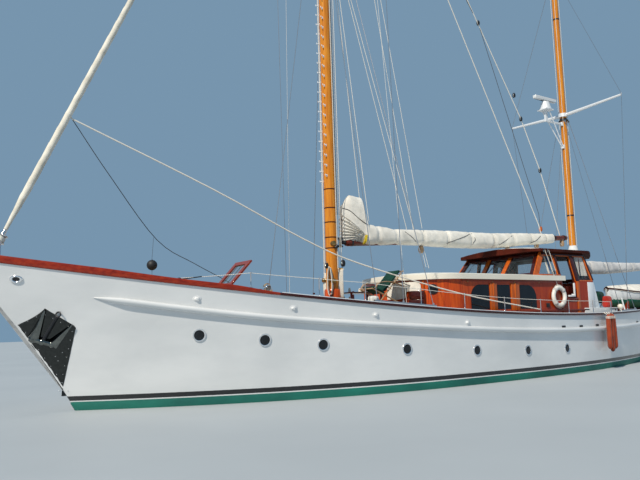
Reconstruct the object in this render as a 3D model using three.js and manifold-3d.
// A classic wooden sailing yacht, ketch rigged, with a varnished deckhouse and wheelhouse.
// Millimetres, +X to the bow, +Y to port, +Z up. The origin is on the waterline and the
// centreline, straight below the main mast's foot.
import * as THREE from 'three';
import { mergeVertices } from 'three/addons/utils/BufferGeometryUtils.js';
import Module from 'manifold-3d';

const wasm = await Module();
wasm.setup();

// Driving dimensions
const seat = 0.4; // gap left where one piece rests on another
const stripeZ = 194; // top of the bottom paint
const bootTopZ = 320; // top of the black band
const widestX = -2080; // station of the greatest beam
const waterHalf = 2830; // half beam at the stripe
const sheerHalf = 2880; // half beam at the rail
const stemX0 = 7240; // stem at the stripe
const sternX0 = -16050; // stern at the stripe
const sternRake = 0.47; // run of the stern for each unit up
const deckDrop = 300; // deck below the rail
const deckThick = 35;
const bulwarkThick = 70;
const keelHalf = 130;
const houseHalf = 1850; // outside of the house's sides
const wallThick = 55;
const houseRoundX = -3300; // where the rounded front meets the sides
const houseFrontX = -1800;
const houseAftX = -9700;
const wallTopZ = 2930;
const roofEdge = 160;
const coachAftX = -6900;
const tumblehome = THREE.MathUtils.degToRad(14);
const upperTopZ = 3900;
const screenTopX = -7250; // top of the raked windscreen
const screenFootX = -6500;
const mastRake = 0.003;
const mainHeadZ = 22800;
const mizzenX = -11330;
const mizzenHeadZ = 16900;
const screwZ = -1500;
const rudderX = -12900;

// Finishes: colour, roughness, metalness
const finish = (color, roughness, metalness = 0) =>
  new THREE.MeshStandardMaterial({ color, roughness, metalness });
const white = finish(0xe9edf0, 0.3);
const green = finish(0x12705c, 0.6);
const black = finish(0x15161a, 0.5);
const mahogany = finish(0x9c3a12, 0.25);
const spruce = finish(0xd98a2b, 0.3);
const teak = finish(0xb39a78, 0.8);
const canvas = finish(0xe8e4da, 0.9);
const steel = finish(0xb9bcc0, 0.2, 1);
const alloy = finish(0xdfe2e4, 0.4, 0.6);
const bronze = finish(0xa07a3c, 0.35, 1);
const cushionGreen = finish(0x0d4a3a, 0.9);
const fenderCloth = finish(0xb4532c, 0.9);
const glass = finish(0x1b232b, 0.1);

// Curves of the hull
const lerp = THREE.MathUtils.lerp;
const clamp = THREE.MathUtils.clamp;
const sheer = (x) => 2099 + 0.081 * x + 4.8e-6 * x * x;
const deckZ = (x) => sheer(x) - deckDrop;
const stemX = (z) => stemX0 + 0.62 * (z - stripeZ) + 4e-5 * (z - stripeZ) ** 2;
const sternX = (z) => sternX0 - sternRake * (z - stripeZ);
function halfBreadth(x, z) {
  const k = clamp((z - stripeZ) / (sheer(x) - stripeZ), 0, 1.2);
  const half = lerp(waterHalf, sheerHalf, k);
  const fore = x > widestX;
  const reach = fore ? stemX(z) - widestX : lerp(14000, 16800, k);
  const power = fore ? lerp(2.11, 2.43, k) : lerp(2.5, 2, k);
  const run = Math.min(Math.abs(x - widestX) / reach, 1);
  return Math.max(half * (1 - run ** power), 12);
}

// Shape helpers
function closed(positions, index) {
  const geometry = new THREE.BufferGeometry();
  geometry.setAttribute('position', new THREE.Float32BufferAttribute(positions, 3));
  geometry.setIndex(index);
  return geometry;
}

function toManifold(geometry) {
  const bare = geometry.clone();
  bare.deleteAttribute('normal');
  bare.deleteAttribute('uv');
  const merged = mergeVertices(bare, 1e-3);
  const p = merged.getAttribute('position');
  const vertProperties = Float32Array.from(p.array);
  let triVerts = Uint32Array.from(merged.index.array);
  let volume = 0;
  const [a, b, c] = [new THREE.Vector3(), new THREE.Vector3(), new THREE.Vector3()];
  for (let i = 0; i < triVerts.length; i += 3) {
    a.fromBufferAttribute(p, triVerts[i]);
    b.fromBufferAttribute(p, triVerts[i + 1]);
    c.fromBufferAttribute(p, triVerts[i + 2]);
    volume += a.dot(b.cross(c));
  }
  if (volume < 0) triVerts = triVerts.reverse();
  return new wasm.Manifold(new wasm.Mesh({ numProp: 3, vertProperties, triVerts }));
}

function toGeometry(solid) {
  const mesh = solid.getMesh();
  return closed(mesh.vertProperties, Array.from(mesh.triVerts));
}

const asSolid = (g) => (g.isBufferGeometry ? toManifold(g) : g);
const fuse = (first, ...rest) => rest.reduce((all, g) => all.add(asSolid(g)), asSolid(first));
const cut = (first, ...rest) => rest.reduce((all, g) => all.subtract(asSolid(g)), asSolid(first));

// Rings of equal length, each going round one way; the ends are closed by strips between
// the first and last points, the second and last but one, and so on. The quads of the ring's
// second half are split the other way, so that a mirrored ring gives a mirrored skin.
function loft(rings) {
  const n = rings[0].length;
  const index = [];
  for (let i = 0; i < rings.length - 1; i++) {
    for (let j = 0; j < n; j++) {
      const [a, b] = [i * n + j, i * n + ((j + 1) % n)];
      if (j < n / 2) index.push(a, b, b + n, a, b + n, a + n);
      else index.push(a, b, a + n, b, b + n, a + n);
    }
  }
  const cap = (start, flip) => {
    for (let j = 0; j < n / 2 - 1; j++) {
      const quad = [start + j, start + n - 1 - j, start + n - 2 - j, start + j + 1];
      const [a, b, c, d] = flip ? quad.reverse() : quad;
      index.push(a, b, c, a, c, d);
    }
  };
  cap(0, false);
  cap((rings.length - 1) * n, true);
  return closed(rings.flat(2), index);
}

const spread = (from, to, count) =>
  Array.from({ length: count }, (_, i) => lerp(from, to, i / (count - 1)));

function block(x0, x1, y0, y1, z0, z1) {
  const g = new THREE.BoxGeometry(x1 - x0, y1 - y0, z1 - z0);
  return g.translate((x0 + x1) / 2, (y0 + y1) / 2, (z0 + z1) / 2);
}

function rod(from, to, r0, r1 = r0, sides = 8) {
  const a = new THREE.Vector3(...from);
  const b = new THREE.Vector3(...to);
  const g = new THREE.CylinderGeometry(r1, r0, a.distanceTo(b), sides);
  const turn = new THREE.Quaternion();
  turn.setFromUnitVectors(new THREE.Vector3(0, 1, 0), b.clone().sub(a).normalize());
  g.applyQuaternion(turn);
  const mid = a.add(b).multiplyScalar(0.5);
  return g.translate(mid.x, mid.y, mid.z);
}

const outline = (points) => new THREE.Shape(points.map(([u, v]) => new THREE.Vector2(u, v)));

// A plate whose outline lies in X and Z, from y0 to y1
function sidePlate(points, y0, y1, holes = []) {
  const g = new THREE.ExtrudeGeometry(outline(points), { depth: y1 - y0, bevelEnabled: false });
  g.rotateX(Math.PI / 2).translate(0, y1, 0);
  return cut(g, ...holes.map((hole) => sidePlate(hole, y0 - 5, y1 + 5)));
}

// A plate whose outline lies in X and Y, from z0 to z1
function flatPlate(shape, z0, z1) {
  const g = new THREE.ExtrudeGeometry(shape, { depth: z1 - z0, bevelEnabled: false, curveSegments: 12 });
  return g.translate(0, 0, z0);
}

const group = new THREE.Group();
function add(name, solid, material) {
  const geometry = toGeometry(asSolid(solid));
  geometry.computeVertexNormals();
  const mesh = new THREE.Mesh(geometry, material);
  mesh.name = name;
  group.add(mesh);
}
const sides = [['port', 1], ['starboard', -1]];
function mirrored(solid, side) {
  return side > 0 ? asSolid(solid) : asSolid(solid).mirror([0, 1, 0]);
}

// Hull: underbody, black band, white topsides
const keelLine = [
  // x, keel's z, depth of the round body below the stripe
  [7235, 150, 20], [7050, -150, 200], [6700, -560, 420], [6200, -930, 640],
  [5500, -1290, 860], [4500, -1620, 1120], [3200, -1900, 1340], [1500, -2160, 1560],
  [-1000, -2430, 1700], [-4500, -2700, 1740], [-8500, -2860, 1440], [-11300, -2900, 1020],
  [-11650, -800, 960], [-12300, -600, 780], [-13200, -420, 590], [-14200, -220, 390],
  [-15200, 0, 175], [-16040, 180, 8],
];
const bodyLevels = [0, 0.25, 0.5, 0.7, 0.85, 0.95, 1];
function underbody() {
  const rings = keelLine.map(([x, keel, depth]) => {
    const half = halfBreadth(x, stripeZ);
    const thin = Math.min(keelHalf, half * 0.8);
    const port = bodyLevels.map((v) => [
      x, thin + (half - thin) * (1 - v ** 2.2) ** 0.8, stripeZ - v * depth,
    ]);
    port.push([x, thin * 0.9, Math.min(keel, stripeZ - depth - 5)]);
    return [...port, ...port.map(([a, y, z]) => [a, -y, z]).reverse()];
  });
  const shoe = block(-13050, -11200, -80, 80, -2900, -2780);
  const boss = rod([-11300, 0, screwZ], [-11750, 0, screwZ], 140, 110, 12);
  return fuse(loft(rings), shoe, boss);
}
add('hull_underbody', underbody(), green);

// Stations run from stern to stem, closer together at the ends
const stations = spread(0, 1, 27).map((t) => lerp(t, (1 - Math.cos(Math.PI * t)) / 2, 0.6));
function hullBand(lowZ, highZ, levels, grow = 0) {
  const level = (x, k) => lerp(lowZ(x), highZ(x), k);
  const end = (start, profile, k) => {
    let x = start;
    for (let i = 0; i < 20; i++) x = profile(level(x, k));
    return x;
  };
  const ends = levels.map((k) => [end(sternX0, sternX, k), end(stemX0, stemX, k)]);
  const rings = stations.map((s) => {
    const port = levels.map((k, i) => {
      const x = lerp(ends[i][0] - 3 * grow, ends[i][1] + 3 * grow, s);
      const z = level(x, k);
      return [x, halfBreadth(x, z) + grow, z + (k === 1 ? grow : 0)];
    });
    return [...port, ...port.map(([x, y, z]) => [x, -y, z]).reverse()];
  });
  return loft(rings);
}
const topsides = (grow) => hullBand(() => bootTopZ, deckZ, [1, 0.8, 0.6, 0.4, 0.2, 0], grow);
add('boot_top', hullBand(() => stripeZ + seat, () => bootTopZ - seat, [1, 0]), black);

// Sheer ends, and the station where the two bulwarks part from the stem head
let stemHeadX = stemX0;
for (let i = 0; i < 30; i++) stemHeadX = stemX(sheer(stemHeadX));
const sternHeadX = sternX(sheer(-16900));
const headBlockX = stemHeadX - 420;
const grownTopsides = asSolid(topsides(seat));

// A strip along the sheer on the port side. Each section is [low z, high z, low y outside,
// high y outside, width]; the strip never reaches the centreline.
function sheerStrip(x0, x1, count, section) {
  return loft(spread(x0, x1, count).map((x) => {
    const [low, high, outerLow, outerHigh, width] = section(x);
    const inner = (outer) => Math.max(outer - width, seat);
    return [[x, inner(outerHigh), high], [x, inner(outerLow), low], [x, outerLow, low],
      [x, outerHigh, high]];
  }));
}
const overlap = 4; // how far a piece that is cut to its seat starts below it
const sheerY = (x) => halfBreadth(x, sheer(x));
const sternBoardThick = 80;
function sternBoard(half, outer, grow) {
  const high = sheer(sternHeadX) + grow;
  const low = sheer(sternHeadX) - deckDrop - sternBoardThick;
  return sidePlate([
    [sternX(high) - outer, high], [sternX(high) + sternBoardThick + grow, high],
    [sternX(low) + sternBoardThick + grow, low], [sternX(low) - outer, low],
  ], -half, half);
}
const transomRail = (grow) =>
  cut(sternBoard(sheerY(sternHeadX + sternBoardThick) + grow, grow, grow), grownTopsides);
const sternTrim = sternBoard(900, 400, seat); // takes off all that reaches past the stern board
const grownTransomRail = transomRail(seat);
function bulwark(grow = 0) {
  const strip = sheerStrip(sternHeadX + 90, headBlockX, 34, (x) => [
    deckZ(x) - overlap, sheer(x) + grow, halfBreadth(x, deckZ(x)) + grow, sheerY(x) + grow,
    bulwarkThick + 2 * grow,
  ]);
  return cut(strip, grownTopsides, sternTrim);
}
const deckBoard = (grow, low) => loft(spread(sternHeadX + 270, headBlockX - 60, 34).map((x) => {
  const half = halfBreadth(x, deckZ(x)) - bulwarkThick - 25;
  const port = [[x, half, deckZ(x) + deckThick + grow], [x, half, low(x)]];
  return [...port, ...port.map(([a, y, z]) => [a, -y, z]).reverse()];
}));
add('deck', cut(deckBoard(0, (x) => deckZ(x) - overlap), grownTopsides), teak);
// Everything up to just above the deck: what stands on deck is cut off by it
const belowDeck = asSolid(deckBoard(seat, () => 500));

const capHeight = (x) => lerp(100, 200, clamp((x - 3200) / 250, 0, 1));
function capRail() {
  const strip = sheerStrip(sternHeadX - 60, stemHeadX + 90, 40, (x) => [
    sheer(x) - overlap, sheer(x) + capHeight(x), sheerY(x) + 60, sheerY(x) + 60, 190,
  ]);
  const half = sheerY(sternHeadX);
  const top = sheer(sternHeadX) + 100;
  const across = block(sternHeadX - 60, sternHeadX + 130, seat, half, top - 100 + seat, top);
  return cut(fuse(strip, across), bulwark(seat), grownHead, grownTransomRail);
}
function headBlock(grow) {
  return asSolid(loft(spread(headBlockX + seat * 2 - grow, stemHeadX + grow, 5).map((x) => {
    const low = deckZ(x) - overlap;
    const port = [[x, sheerY(x) + grow, sheer(x) + grow], [x, halfBreadth(x, low) + grow, low]];
    return [...port, ...port.map(([a, y, z]) => [a, -y, z]).reverse()];
  })));
}
const grownHead = headBlock(seat);
add('hull_topsides', fuse(topsides(0), headBlock(0)), white);
add('stern_bulwark', transomRail(0), white);
for (const [side, s] of sides) {
  add(`bulwark_${side}`, mirrored(bulwark(), s), white);
  add(`cap_rail_${side}`, mirrored(capRail(), s), mahogany);
}

// Rub strake: a heavy half-round moulding along each side
const strakeZ = (x) => sheer(x) - 420;
function rubStrake(grow = 0) {
  const strip = loft(spread(-16300 - grow, 7050 + grow, 34).map((x) => {
    const z = strakeZ(x);
    const y = halfBreadth(x, z) + grow;
    return [[x, y - 90, z + 75 + grow], [x, y - 90, z - 75 - grow], [x, y + 90, z - 45 - grow],
      [x, y + 130, z], [x, y + 130, z + 40], [x, y + 80, z + 75 + grow]];
  }));
  return cut(strip, grownTopsides);
}
for (const [side, s] of sides) add(`rub_strake_${side}`, mirrored(rubStrake(), s), white);

// Rudder and screw
function rudder() {
  const x = rudderX;
  const blade = sidePlate([
    [x + 70, -2740], [x + 70, -700], [x - 500, -640], [x - 1050, -900],
    [x - 1150, -1500], [x - 1000, -2300], [x - 700, -2740],
  ], -45, 45);
  return fuse(blade, rod([x, 0, -2780 + seat], [x, 0, -495], 60, 60, 12));
}
add('rudder', rudder(), green);
function screw() {
  const hub = rod([-11750 - seat, 0, screwZ], [-12080, 0, screwZ], 90, 55, 12);
  const blades = [0, 1, 2].map((i) => {
    const g = new THREE.CylinderGeometry(235, 235, 26, 14).rotateZ(Math.PI / 2).scale(1, 0.62, 1);
    g.rotateZ(0.6).translate(-11910, 0, 260);
    return g.rotateX((i * 2 * Math.PI) / 3).translate(0, 0, screwZ);
  });
  return fuse(hub, ...blades);
}
add('propeller', screw(), bronze);

// Coachroof and wheelhouse roof: cambered slabs of changing width
function camberedSlab(xs, halfWidth, low, edge, camber, grow = 0) {
  const across = [1, 0.75, 0.4, 0];
  return loft(xs.map((x) => {
    const half = halfWidth(x) + grow;
    const crown = camber * (halfWidth(x) / 1950) ** 2;
    const top = across.map((u) => [x, u * half, low(x) + edge + crown * (1 - u * u) + grow]);
    const port = [[x, 0, low(x) - grow], [x, half, low(x) - grow], ...top];
    return [...port.slice(1), ...port.slice(2, -1).map(([a, y, z]) => [a, -y, z]).reverse(),
      [x, -half, low(x) - grow]];
  }));
}
const roundFront = (x, tip, root, half) =>
  x < root ? half : half * Math.sqrt(Math.max(1 - ((x - root) / (tip - root)) ** 2, 0.02));
function coachroof(grow) {
  const [tip, root, half] = [houseFrontX + 100, houseRoundX, houseHalf + 100];
  const xs = [coachAftX - grow, -5600, -4400, root, -2900, -2500, -2200, -1980, -1820, tip + grow];
  const slab = camberedSlab(
    xs, (x) => roundFront(x, tip, root, half), () => wallTopZ + seat, roofEdge, 130, grow,
  );
  const horn = block(-8060 - grow, coachAftX + 50, houseHalf + 14 - grow, half + grow,
    wallTopZ + seat - grow, wallTopZ + seat + roofEdge + grow);
  return fuse(slab, horn, mirrored(horn, -1));
}
add('coachroof', coachroof(0), canvas);
const grownCoachroof = coachroof(seat);

// House walls. Each window is [x aft, x fore, rounding of its upper aft and upper fore corner]
const saloonWindows = [[-4430, -3670, 40, 380], [-5375, -4820, 40, 40], [-6610, -5850, 380, 40]];
const windowLowZ = 2050;
const windowHighZ = 2760;
const doorway = { aft: -8740, fore: -7990, sill: 2380, head: 3780 };
function archedHole([aft, fore, aftRound, foreRound]) {
  const corner = (x, way, r) => [0, 30, 60, 90].map((deg) => {
    const a = THREE.MathUtils.degToRad(deg);
    return [x + way * r * (1 - Math.cos(a)), windowHighZ - r * (1 - Math.sin(a))];
  });
  return [[aft, windowLowZ], [fore, windowLowZ], ...corner(fore, -1, foreRound),
    ...corner(aft, 1, aftRound).reverse()];
}
function houseSide() {
  const { aft, fore, sill } = doorway;
  const wall = sidePlate([
    [houseAftX, 1300], [houseRoundX, 1300], [houseRoundX, wallTopZ], [fore, wallTopZ],
    [fore, sill], [aft, sill], [aft, wallTopZ], [houseAftX, wallTopZ],
  ], houseHalf - wallThick, houseHalf, saloonWindows.map(archedHole));
  return cut(wall, belowDeck);
}
function houseFront() {
  const arc = (tip, half, from, to) => spread(from, to, 19).map((a) => [
    houseRoundX + seat + (tip - houseRoundX) * Math.cos(a), half * Math.sin(a),
  ]);
  const q = Math.PI / 2;
  const ring = [...arc(houseFrontX, houseHalf, -q, q),
    ...arc(houseFrontX - wallThick, houseHalf - wallThick, q, -q)];
  return cut(flatPlate(outline(ring), 1300, wallTopZ), belowDeck);
}
function houseAft() {
  const half = houseHalf - wallThick - seat;
  return cut(block(houseAftX, houseAftX + wallThick, -half, half, 1300, wallTopZ), belowDeck);
}
function aftWing() {
  const x = houseAftX - seat;
  const wing = sidePlate([
    [x, 1300], [x, 2880], [x - 40, 2880], [x - 290, 2010], [x - 800, 2000], [x - 800, 1300],
  ], houseHalf - wallThick, houseHalf);
  return cut(wing, belowDeck);
}
add('house_front', houseFront(), mahogany);
add('house_aft', houseAft(), mahogany);

// Wheelhouse: sides lean inboard, the windscreen rakes aft
const leanIn = (solid) => solid.translate([0, -houseHalf, -wallTopZ - seat])
  .rotate([THREE.MathUtils.radToDeg(tumblehome), 0, 0]).translate([0, houseHalf, wallTopZ + seat]);
const slopeLength = (upperTopZ - wallTopZ) / Math.cos(tumblehome);
function wheelhouseSide() {
  const { aft, fore, head } = doorway;
  const base = wallTopZ + seat;
  const top = base + slopeLength;
  const at = (z) => base + (z - base) / Math.cos(tumblehome);
  const panel = sidePlate([
    [houseAftX, base], [aft, base], [aft, at(head)], [fore, at(head)], [fore, base],
    [screenFootX, base], [screenTopX, top], [houseAftX + 140, top],
  ], houseHalf - 50, houseHalf, [
    [[-7870, at(3130)], [-6900, at(3130)], [-7400, at(3780)], [-7830, at(3780)]],
    [[-9650, at(2970)], [-8960, at(2970)], [-8930, at(3780)], [-9530, at(3780)]],
  ]);
  const lowerWall = block(houseAftX, screenFootX, houseHalf - 200, houseHalf + 10, 2000, base);
  return cut(leanIn(panel), grownCoachroof, lowerWall);
}
const innerFace = (z) => houseHalf - 50 / Math.cos(tumblehome) - (z - wallTopZ) * Math.tan(tumblehome);
// A panel across the house on a slope through two points in X and Z. Each window is
// [low y0, low y1, high y1, high y0, low, high], measured up the slope.
function crossPanel(foot, head, from, thick, windows) {
  const rise = Math.hypot(head[0] - foot[0], head[1] - foot[1]);
  const half = (s) => innerFace(lerp(foot[1], head[1], s / rise)) - 2;
  const up = new THREE.Vector3((head[0] - foot[0]) / rise, 0, (head[1] - foot[1]) / rise);
  const side = new THREE.Vector3(0, 1, 0);
  const place = new THREE.Matrix4().makeBasis(side, up, side.clone().cross(up));
  place.setPosition(foot[0], 0, foot[1]);
  const plate = (points, extra) => {
    const depth = thick + 2 * extra;
    const g = new THREE.ExtrudeGeometry(outline(points), { depth, bevelEnabled: false });
    return g.translate(0, 0, from - extra).applyMatrix4(place);
  };
  const panel = [[-half(0), 0], [half(0), 0], [half(rise), rise], [-half(rise), rise]];
  return cut(plate(panel, 0), ...windows.map(([y0, y1, y2, y3, low, high]) => plate(
    [[y0, low], [y1, low], [y2, high], [y3, high]], 5,
  )));
}
const screenPoint = (t) => [lerp(screenFootX, screenTopX, t), lerp(wallTopZ, upperTopZ - seat, t)];
function windscreen() {
  const panes = [
    [-350, 350, 350, -350, 270, 1020], [570, 1600, 1450, 570, 270, 1020],
    [-1600, -570, -570, -1450, 270, 1020],
  ];
  return cut(crossPanel(screenPoint(0.05), screenPoint(1), -50, 50, panes), grownCoachroof);
}
function wheelhouseBack() {
  const panes = [[-1300, 1300, 1200, -1200, 130, 830]];
  return crossPanel([houseAftX + 10, wallTopZ + 8], [houseAftX + 150, upperTopZ - seat], 0, 45, panes);
}
add('windscreen_frame', windscreen(), mahogany);
add('wheelhouse_back', wheelhouseBack(), mahogany);

const roofTipX = -6880;
const roofTailX = -11720;
function wheelhouseRoof() {
  const half = (x) => {
    if (x > -7100) return 1560 + ((roofTipX - x) / 220) * 170;
    return x > -9700 ? 1760 : lerp(1760, 400, ((-9700 - x) / (-9700 - roofTailX)) ** 1.15);
  };
  const xs = [roofTailX, -11500, -11100, -10600, -10200, -9900, -9700, -8500, -7400, -7100, -6960, roofTipX];
  const slab = camberedSlab(xs, half, () => upperTopZ + seat, 95, 170);
  const [low, high] = [3500, 4700].map((z) => [mizzenX - mastRake * z, 0, z]);
  return cut(slab, rod(low, high, 160, 160, 16));
}
add('wheelhouse_roof', wheelhouseRoof(), mahogany);

const floorTopZ = 2330;
const floorHalf = houseHalf - wallThick - seat;
add('wheelhouse_floor', block(houseAftX + wallThick + seat, coachAftX + 200, -floorHalf, floorHalf,
  floorTopZ - 60, floorTopZ), teak);

// Sliding doors, bent like the wall they run behind
const doorWidth = 790;
const doorOpenAft = -9490;
function slidingDoor() {
  const gap = 8;
  const thick = 34;
  const face = (z) => (z < wallTopZ ? houseHalf - wallThick - gap : innerFace(z) - gap);
  const zs = [floorTopZ + 0.5, wallTopZ - 4, 3800];
  const ring = (x) => [
    ...zs.map((z) => [x, face(z), z]),
    ...zs.map((z) => [x, face(z) - thick, z]).reverse(),
  ];
  const leaf = loft([ring(doorOpenAft), ring(doorOpenAft + doorWidth)]);
  const light = block(doorOpenAft + 110, doorOpenAft + doorWidth - 110, 1300, 2000, 3010, 3680);
  return cut(leaf, light);
}

for (const [side, s] of sides) {
  add(`house_side_${side}`, mirrored(houseSide(), s), mahogany);
  add(`wheelhouse_side_${side}`, mirrored(wheelhouseSide(), s), mahogany);
  add(`aft_wing_${side}`, mirrored(aftWing(), s), white);
  add(`sliding_door_${side}`, mirrored(slidingDoor(), s), mahogany);
  const pane = block(-6690, -3580, houseHalf - wallThick - 8, houseHalf - wallThick - seat,
    windowLowZ - 60, windowHighZ + 60);
  add(`saloon_glass_${side}`, mirrored(pane, s), glass);
}

// Helm: pedestal and spoked wheel
const helmX = -7560;
const helmZ = 3180;
add('helm_pedestal', fuse(
  block(helmX + 60, helmX + 420, -230, 230, floorTopZ + seat, 3300),
  rod([helmX + 70, 0, helmZ], [helmX + 25, 0, helmZ], 45, 45, 12),
), mahogany);
function helmWheel() {
  const rim = new THREE.TorusGeometry(330, 20, 8, 24).rotateY(Math.PI / 2).translate(helmX, 0, helmZ);
  const spokes = [0, 1, 2, 3, 4].map((i) => {
    const a = (i * 2 * Math.PI) / 5;
    return rod([helmX, 0, helmZ], [helmX, 330 * Math.cos(a), helmZ + 330 * Math.sin(a)], 14, 14, 6);
  });
  const hub = rod([helmX - 30, 0, helmZ], [helmX + 25 - seat, 0, helmZ], 55, 55, 12);
  return fuse(hub, rim, ...spokes);
}
add('helm_wheel', helmWheel(), mahogany);

// Masts: round spars with lugs for the shrouds, raked aft
const mastAt = (foot, z) => foot - mastRake * z;
function spar(foot, lowZ, headZ, r0, r1, grow = 0) {
  const [low, high] = [lowZ, headZ].map((z) => [mastAt(foot, z), 0, z]);
  return rod(low, high, r0 + grow, r1 + grow, 16);
}
function mast(foot, lowZ, headZ, r0, r1, hounds, boom) {
  const headX = mastAt(foot, headZ);
  const truck = rod([headX, 0, headZ - 20], [headX, 0, headZ + 90], r1 + 45, r1 + 30, 12);
  const lugs = hounds.map(([z, reach]) => {
    const x = mastAt(foot, z);
    return block(x - reach, x + reach, -reach, reach, z, z + 110);
  });
  const jaws = [1, -1].map((s) => {
    const z = boom.from[2] + s * (neckHalf + seat + 25);
    return block(boom.pivot - 60, mastAt(foot, z), -60, 60, z - 25, z + 25);
  });
  return fuse(spar(foot, lowZ, headZ, r0, r1), truck, ...lugs, ...jaws);
}
const mainR = 187;
const mainTopR = 135;
const mizzenR = 132;
const mizzenTopR = 112;
const neckHalf = 90; // half height of the pin that a boom swings on
const mainBoom = { from: [-520, 0, 4085], to: [-10960, 0, 4720], r: 105, pivot: -330 };
const mizzenBoom = { from: [-11720, 0, 3600], to: [-17050, 0, 3800], r: 75, pivot: -11590 };
const hounds = { mainLower: 14900, mainUpper: 20900, mainHead: 22450, mizzenLower: 9330, mizzenUpper: 15200 };
const mainMast = mast(0, 1500, mainHeadZ, mainR, mainTopR,
  [[hounds.mainLower, 230], [hounds.mainUpper, 200], [hounds.mainHead, 190]], mainBoom);
add('main_mast', cut(mainMast, belowDeck), spruce);
const mizzenMast = fuse(
  mast(mizzenX, 1200, mizzenHeadZ, mizzenR, mizzenTopR,
    [[hounds.mizzenLower, 190], [hounds.mizzenUpper, 165]], mizzenBoom),
  rod([mastAt(mizzenX, 4235), 0, 4235], [mastAt(mizzenX, 4440), 0, 4440], 195, 150, 16),
);
add('mizzen_mast', cut(mizzenMast, belowDeck), spruce);

// Spreaders: two arms on a ring round the mast
function spreaders(foot, z, reach, rise, mastR, arm) {
  const x = mastAt(foot, z);
  const ring = rod([x, 0, z - 70], [x, 0, z + 70], mastR + 60, mastR + 60, 16);
  const arms = [1, -1].map(
    (s) => rod([x, s * (mastR + 20), z], [x, s * reach, z + rise], arm, arm * 0.6, 8),
  );
  return cut(fuse(ring, ...arms), spar(foot, z - 200, z + 200, mastR, mastR, seat));
}
const mainSpreaderZ = 15150;
const mizzenSpreaderZ = 9560;
const mainReach = 2700;
const mizzenReach = 2465;
const mainRadius = (z) => lerp(mainR, mainTopR, (z - 1500) / (mainHeadZ - 1500));
const mizzenRadius = (z) => lerp(mizzenR, mizzenTopR, (z - 1200) / (mizzenHeadZ - 1200));
add('main_spreaders', spreaders(0, mainSpreaderZ, mainReach, 120, mainRadius(15080), 55), alloy);
add('mizzen_spreaders',
  spreaders(mizzenX, mizzenSpreaderZ, mizzenReach, 120, mizzenRadius(9490), 68), alloy);

// Booms and their canvas covers. The jaws' pin stands behind the mast.
function boomSpar(from, to, r, pivotX) {
  const neck = rod([pivotX, 0, from[2] - neckHalf], [pivotX, 0, from[2] + neckHalf], 45, 45, 10);
  const link = rod([pivotX, 0, from[2]], [from[0] - 40, 0, from[2]], 45, 60, 8);
  return fuse(rod(from, to, r, r * 0.9, 12), neck, link);
}
// Sections: x, low z, high z, half width; each is a rounded lozenge
function coverBody(sections) {
  return loft(sections.map(([x, low, high, half]) => {
    const mid = lerp(low, high, 0.42);
    const port = [[x, half * 0.35, high], [x, half * 0.85, lerp(mid, high, 0.55)], [x, half, mid],
      [x, half * 0.8, lerp(low, mid, 0.3)], [x, half * 0.3, low]];
    return [...port, ...port.map(([a, y, z]) => [a, -y, z]).reverse()];
  }));
}
const mainCover = [
  [-480, 4280, 5230, 90], [-720, 4150, 5490, 170], [-1090, 4080, 5440, 220], [-1200, 4070, 4980, 250],
  [-1260, 4060, 4660, 260], [-2450, 4110, 4580, 250], [-3600, 4120, 4620, 260], [-4800, 4110, 4650, 280], [-6000, 4130, 4660, 280],
  [-7200, 4190, 4700, 270], [-8400, 4330, 4760, 230], [-9500, 4420, 4800, 210], [-10050, 4480, 4820, 150],
];
const mizzenCover = [
  [-11960, 3380, 3860, 150], [-12400, 3370, 3870, 210], [-13000, 3380, 3860, 230], [-14000, 3440, 3860, 220],
  [-15200, 3520, 3880, 190], [-16400, 3640, 3900, 130], [-16700, 3690, 3890, 100],
];
const bodies = [['main', mainBoom, mainCover], ['mizzen', mizzenBoom, mizzenCover]];
for (const [name, { from, to, r, pivot }, sections] of bodies) {
  add(`${name}_boom`, boomSpar(from, to, r, pivot), spruce);
  add(`${name}_sail_cover`, cut(coverBody(sections), rod(from, to, r + 1, r * 0.9 + 1, 12)), canvas);
}

// Standing rigging: one node a side and mast, its wires joined by the strip on the rail
const capTop = (x) => sheer(x) + capHeight(x);
const wireR = 10;
function shroudSet(feet, spreaderTip) {
  const xs = feet.map(([x]) => x);
  const y = (x) => sheerY(x) - 40;
  const strip = sheerStrip(Math.min(...xs) - 90, Math.max(...xs) + 90, 4, (x) => [
    capTop(x) + 1, capTop(x) + 45, y(x) + 30, y(x) + 30, 60,
  ]);
  const wires = feet.map(([x, headX, headY, headZ, overTip]) => {
    const foot = [x, y(x), capTop(x) + 30];
    const end = [headX, headY, headZ - 30];
    const via = overTip ? [spreaderTip] : [];
    const points = [foot, ...via, end];
    const runs = points.slice(1).map((to, i) => rod(points[i], to, wireR, wireR, 6));
    const fittings = points.slice(0, -1).map(([a, b, c]) => rod([a, b, c - 25], [a, b, c + 25], 16, 16, 8));
    const screwRod = rod(foot, [x, y(x), foot[2] + 60], 26, 26, 8);
    const eye = block(headX - 22, headX + 22, headY - 22, headY + 22, headZ - 70, headZ - seat);
    return fuse(runs[0], ...runs.slice(1), ...fittings, screwRod, eye);
  });
  return fuse(strip, ...wires);
}
const mainAt = (z) => mastAt(0, z);
const mizzenAt = (z) => mastAt(mizzenX, z);
const mainShrouds = () => shroudSet([
  [600, mainAt(hounds.mainLower) + 170, 190, hounds.mainLower],
  [-200, mainAt(hounds.mainUpper), 165, hounds.mainUpper, true],
  [-1200, mainAt(hounds.mainLower) - 170, 190, hounds.mainLower],
], [mainAt(mainSpreaderZ), mainReach + 20, mainSpreaderZ + 165]);
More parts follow.
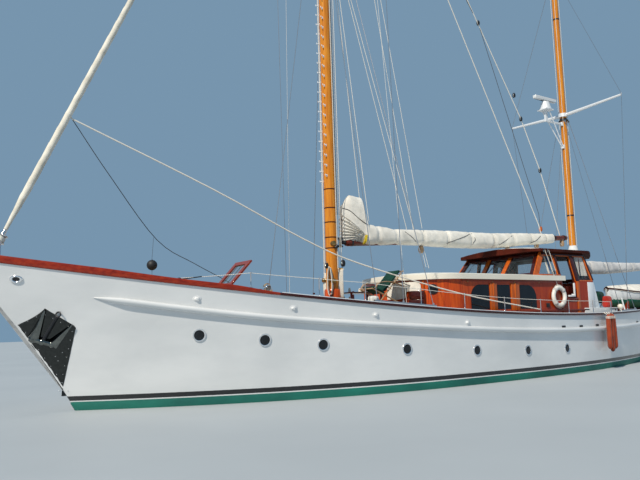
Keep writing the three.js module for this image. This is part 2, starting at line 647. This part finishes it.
const mizzenShrouds = () => shroudSet([
  [-10900, mizzenAt(hounds.mizzenLower) + 120, 150, hounds.mizzenLower],
  [-11500, mizzenAt(hounds.mizzenUpper), 142, hounds.mizzenUpper, true],
  [-12200, mizzenAt(hounds.mizzenLower) - 120, 150, hounds.mizzenLower],
], [mizzenAt(mizzenSpreaderZ), mizzenReach + 20, mizzenSpreaderZ + 160]);
for (const [side, s] of sides) {
  add(`main_shrouds_${side}`, mirrored(mainShrouds(), s), steel);
  add(`mizzen_shrouds_${side}`, mirrored(mizzenShrouds(), s), steel);
}
function furledHeadsail() {
  const top = hounds.mainHead;
  const foot = [8822, 0, 3640];
  const head = [mainAt(top) + 165, 0, top - 40];
  const along = (t) => foot.map((v, i) => lerp(v, head[i], t));
  const post = block(8740, 8900, -30, 30, 2700, 3660);
  return cut(fuse(
    post, rod(foot, head, 12, 12, 8), rod(along(0.004), along(0.016), 120, 120, 14),
    rod(along(0.0165), along(0.05), 45, 82, 12), rod(along(0.05), along(0.9), 82, 42, 12),
    block(head[0] - 25, head[0] + 25, -25, 25, top - 90, top - seat),
  ), belowDeck);
}
add('furled_headsail', furledHeadsail(), canvas);

// Bow: polished plate round the stem, and the anchor housed on it
const plateThick = 10;
function stemPlate() {
  const region = sidePlate([
    [8500, 1900], [7940, 2260], [7310, 1840], [7180, 330], [7320, 330], [8500, 1780],
  ], -1500, 1500);
  return cut(topsides(plateThick), grownTopsides).intersect(asSolid(region));
}
add('stem_plate', stemPlate(), steel);
function anchor() {
  const [fore, aft] = [[8090, 110, 1590], [7720, 280, 1470]];
  const [high, low] = [[7930, 480, 2200], [7400, 660, 1890]];
  return cut(fuse(
    rod(fore, aft, 62, 62, 10), rod(fore, high, 62, 24, 8), rod(aft, low, 62, 24, 8),
    rod([7905, 195, 1530], [7700, 545, 2060], 48, 48, 8),
  ), topsides(plateThick + seat));
}
add('bow_anchor', anchor(), steel);

// Fore hatch with its lid propped open, and the windlass
const hatch = { aft: 2560, fore: 3460, half: 420, topZ: 2700, openDeg: 47, hingeX: 3495, hingeZ: 2735,
  knuckle: 280 };
function foreHatch() {
  const { aft, fore, half, topZ } = hatch;
  const box = block(aft, fore, -half, half, 1500, topZ);
  const inside = block(aft + 40, fore - 40, 40 - half, half - 40, 1400, topZ + 10);
  const ears = [1, -1].flatMap((s) => {
    const y = s * (hatch.knuckle + seat + 20);
    return [block(fore - 5, hatch.hingeX + 20, y - 20, y + 20, 2560, topZ),
      block(hatch.hingeX - 20, hatch.hingeX + 20, y - 20, y + 20, 2690, hatch.hingeZ + 12)];
  });
  return cut(fuse(cut(box, inside), ...ears), belowDeck);
}
function hatchLid() {
  const { aft, half, hingeX, hingeZ } = hatch;
  const lid = block(aft - 20, hingeX - 30, -half - 20, half + 20, hingeZ - 22, hingeZ + 23);
  const light = block(aft + 110, hingeX - 150, 130 - half, half - 130, hingeZ - 50, hingeZ + 50);
  const knuckle = rod([hingeX, -hatch.knuckle, hingeZ], [hingeX, hatch.knuckle, hingeZ], 18, 18, 10);
  const tab = block(hingeX - 35, hingeX, -hatch.knuckle + 10, hatch.knuckle - 10, hingeZ - 8, hingeZ + 8);
  return fuse(cut(lid, light), knuckle, tab)
    .translate([-hingeX, 0, -hingeZ]).rotate([0, hatch.openDeg, 0]).translate([hingeX, 0, hingeZ]);
}
add('fore_hatch', foreHatch(), mahogany);
add('fore_hatch_lid', hatchLid(), mahogany);
function windlass() {
  return cut(fuse(
    block(6050, 6450, -170, 170, 2400, 2860), rod([6250, -360, 2980], [6250, 360, 2980], 90, 90, 12),
    block(6130, 6370, -120, 120, 2850, 3060), rod([6250, -380, 2980], [6250, -300, 2980], 130, 130, 12),
    rod([6250, 300, 2980], [6250, 380, 2980], 130, 130, 12),
  ), belowDeck);
}
add('windlass', windlass(), bronze);

// Radar: bracket on the fore side of the mizzen mast, turning bar above
const radar = { x: -10290, platformZ: 9620, barZ: 10060, reach: 620 };
function radarBracket() {
  const { x, platformZ, barZ } = radar;
  const mastFace = (z) => mizzenAt(z) + mizzenRadius(z);
  const pads = [8300, 9200].map((z) => block(mastFace(z) - 40, mastFace(z) + 60, -60, 60, z - 70, z + 70));
  const struts = [1, -1].map(
    (s) => rod([mastFace(8300) + 50, s * 30, 8300], [x, s * 150, platformZ], 22, 22, 8),
  );
  const arm = block(mastFace(9200) + 40, x, -40, 40, 9170, 9230);
  return cut(fuse(
    ...pads, arm, ...struts, block(x - 230, x + 230, -210, 210, platformZ - 20, platformZ + 20),
    block(x - 60, x + 60, -40, 40, 9170, platformZ),
    rod([x, 0, platformZ], [x, 0, barZ - 130], 230, 150, 16),
  ), spar(mizzenX, 1200, mizzenHeadZ, mizzenR, mizzenTopR, seat));
}
function radarBar() {
  const { x, barZ, reach } = radar;
  return fuse(block(x - reach, x + reach, -75, 75, barZ - 70, barZ + 60),
    rod([x, 0, barZ - 130 + seat], [x, 0, barZ], 60, 60, 12));
}
add('radar_bracket', radarBracket(), alloy);
add('radar_scanner', radarBar(), white);

// Life ring on the port side of the house, fenders hung over the port rail
const ringR = 290;
const ringTube = 75;
add('life_ring', new THREE.TorusGeometry(ringR, ringTube, 12, 28).rotateX(Math.PI / 2)
  .translate(-7690, houseHalf + ringTube + seat, 2410), white);
function fenders() {
  const one = (x) => {
    const y = halfBreadth(x, strakeZ(x)) + 130 + 90;
    return fuse(rod([x, y, 640], [x, y, 1740], 95, 95, 12), rod([x, y, 560], [x, y, 641], 40, 95, 12),
      rod([x, y, 1739], [x, y, 1830], 95, 30, 12));
  };
  return cut(fuse(one(-9330), one(-9500), one(-9670)), rubStrake(seat));
}
add('fenders', fenders(), fenderCloth);

// Dinghy under its cover, bow forward on chocks on the after deck
function dinghy(grow) {
  const stationsTable = [
    // x, half beam, keel z, gunwale z, rise of the cover
    [-13290, 40, 2440, 2850, 40], [-13600, 290, 2150, 2800, 120], [-14100, 500, 2060, 2725, 220],
    [-14800, 640, 2030, 2670, 310], [-15500, 620, 2040, 2670, 320], [-16050, 540, 2080, 2700, 270],
    [-16300, 470, 2120, 2720, 220],
  ];
  return loft(stationsTable.map(([x, half, keel, gunwale, rise]) => {
    const port = [[x, half * 0.4, gunwale + rise], [x, half * 0.9, gunwale + 0.35 * rise],
      [x, half, gunwale], [x, half * 0.86, lerp(keel, gunwale, 0.42)],
      [x, half * 0.5, lerp(keel, gunwale, 0.12)], [x, 20, keel],
    ].map(([a, y, z]) => [a, y + grow, z - (z < gunwale ? grow : -grow)]);
    return [...port, ...port.map(([a, y, z]) => [a, -y, z]).reverse()];
  }));
}
add('dinghy', dinghy(0), white);
function chocks() {
  const cradle = (x) => block(x - 40, x + 40, -400, 400, 1450, 2300);
  const runner = (y) => block(-15900, -13900, y - 40, y + 40, 1450, 1880);
  return cut(fuse(runner(250), cradle(-14100), cradle(-15700), runner(-250)), dinghy(seat), belowDeck);
}
add('dinghy_chocks', chocks(), mahogany);

// Low trunk before the house, with a long chair and a table on it
const trunkTopZ = 2150;
add('fore_trunk', cut(block(-1720, -300, -1250, 1250, 1300, trunkTopZ), belowDeck), mahogany);
const chair = { y0: 670, y1: 1220, r: 20 };
const seatLine = [[-1670, trunkTopZ + 21], [-480, 2680]];
const backLine = [[-590, trunkTopZ + 21], [-1610, 3180]];
function chairRails(grow = 0) {
  const { y0, y1, r } = chair;
  const lines = [seatLine, backLine].flatMap((ends) => [y0, y1].map((y) => ends.map(([x, z]) => [x, y, z])));
  return lines.map(([from, to]) => rod(from, to, r + grow, r + grow, 6));
}
function deckChair() {
  const { y0, y1, r } = chair;
  const bars = [seatLine, backLine].flatMap((ends) => ends.map(
    ([x, z]) => rod([x, y0 - 30, z], [x, y1 + 30, z], r - 4, r - 4, 6),
  ));
  const feet = [seatLine, backLine].flatMap(([[x]]) => [y0, y1].map(
    (y) => block(x - 30, x + 30, y - 14, y + 14, trunkTopZ + seat, trunkTopZ + 30),
  ));
  return fuse(...chairRails(), ...bars, ...feet);
}
add('deck_chair', deckChair(), teak);
function chairCushion() {
  const unit = ([[x0, z0], [x1, z1]]) => {
    const run = Math.hypot(x1 - x0, z1 - z0);
    return [(x1 - x0) / run, (z1 - z0) / run];
  };
  const shifted = ([a, b], d, s) => {
    const [ux, uz] = unit([a, b]);
    return [a, b].map(([x, z]) => [x - s * uz * d, z + s * ux * d]);
  };
  const meet = ([[x0, z0], [x1, z1]], [[x2, z2], [x3, z3]]) => {
    const slope = (z1 - z0) / (x1 - x0);
    const other = (z3 - z2) / (x3 - x2);
    const x = (z2 - z0 + slope * x0 - other * x2) / (slope - other);
    return [x, z0 + slope * (x - x0)];
  };
  const low = chair.r * 0.8;
  const high = low + 94;
  const [seatLow, seatHigh] = [low, high].map((d) => shifted(seatLine, d, 1));
  const [backLow, backHigh] = [low, high].map((d) => shifted(backLine, d, -1));
  const pad = sidePlate([
    seatLow[1], seatHigh[1], meet(seatHigh, backHigh), backHigh[1], backLow[1], meet(seatLow, backLow),
  ], chair.y0 - 15, chair.y1 + 15);
  return cut(pad, ...chairRails(seat));
}
add('chair_cushion', chairCushion(), cushionGreen);
function deckTable() {
  const [x0, x1, y0, y1] = [-1540, -400, -350, 350];
  const legs = [[x0, y0], [x0, y1 - 50], [x1 - 50, y0], [x1 - 50, y1 - 50]];
  return fuse(block(x0, x1, y0, y1, 2600, 2635),
    ...legs.map(([x, y]) => block(x, x + 50, y, y + 50, trunkTopZ + seat, 2610)));
}
add('deck_table', deckTable(), mahogany);

export default group;
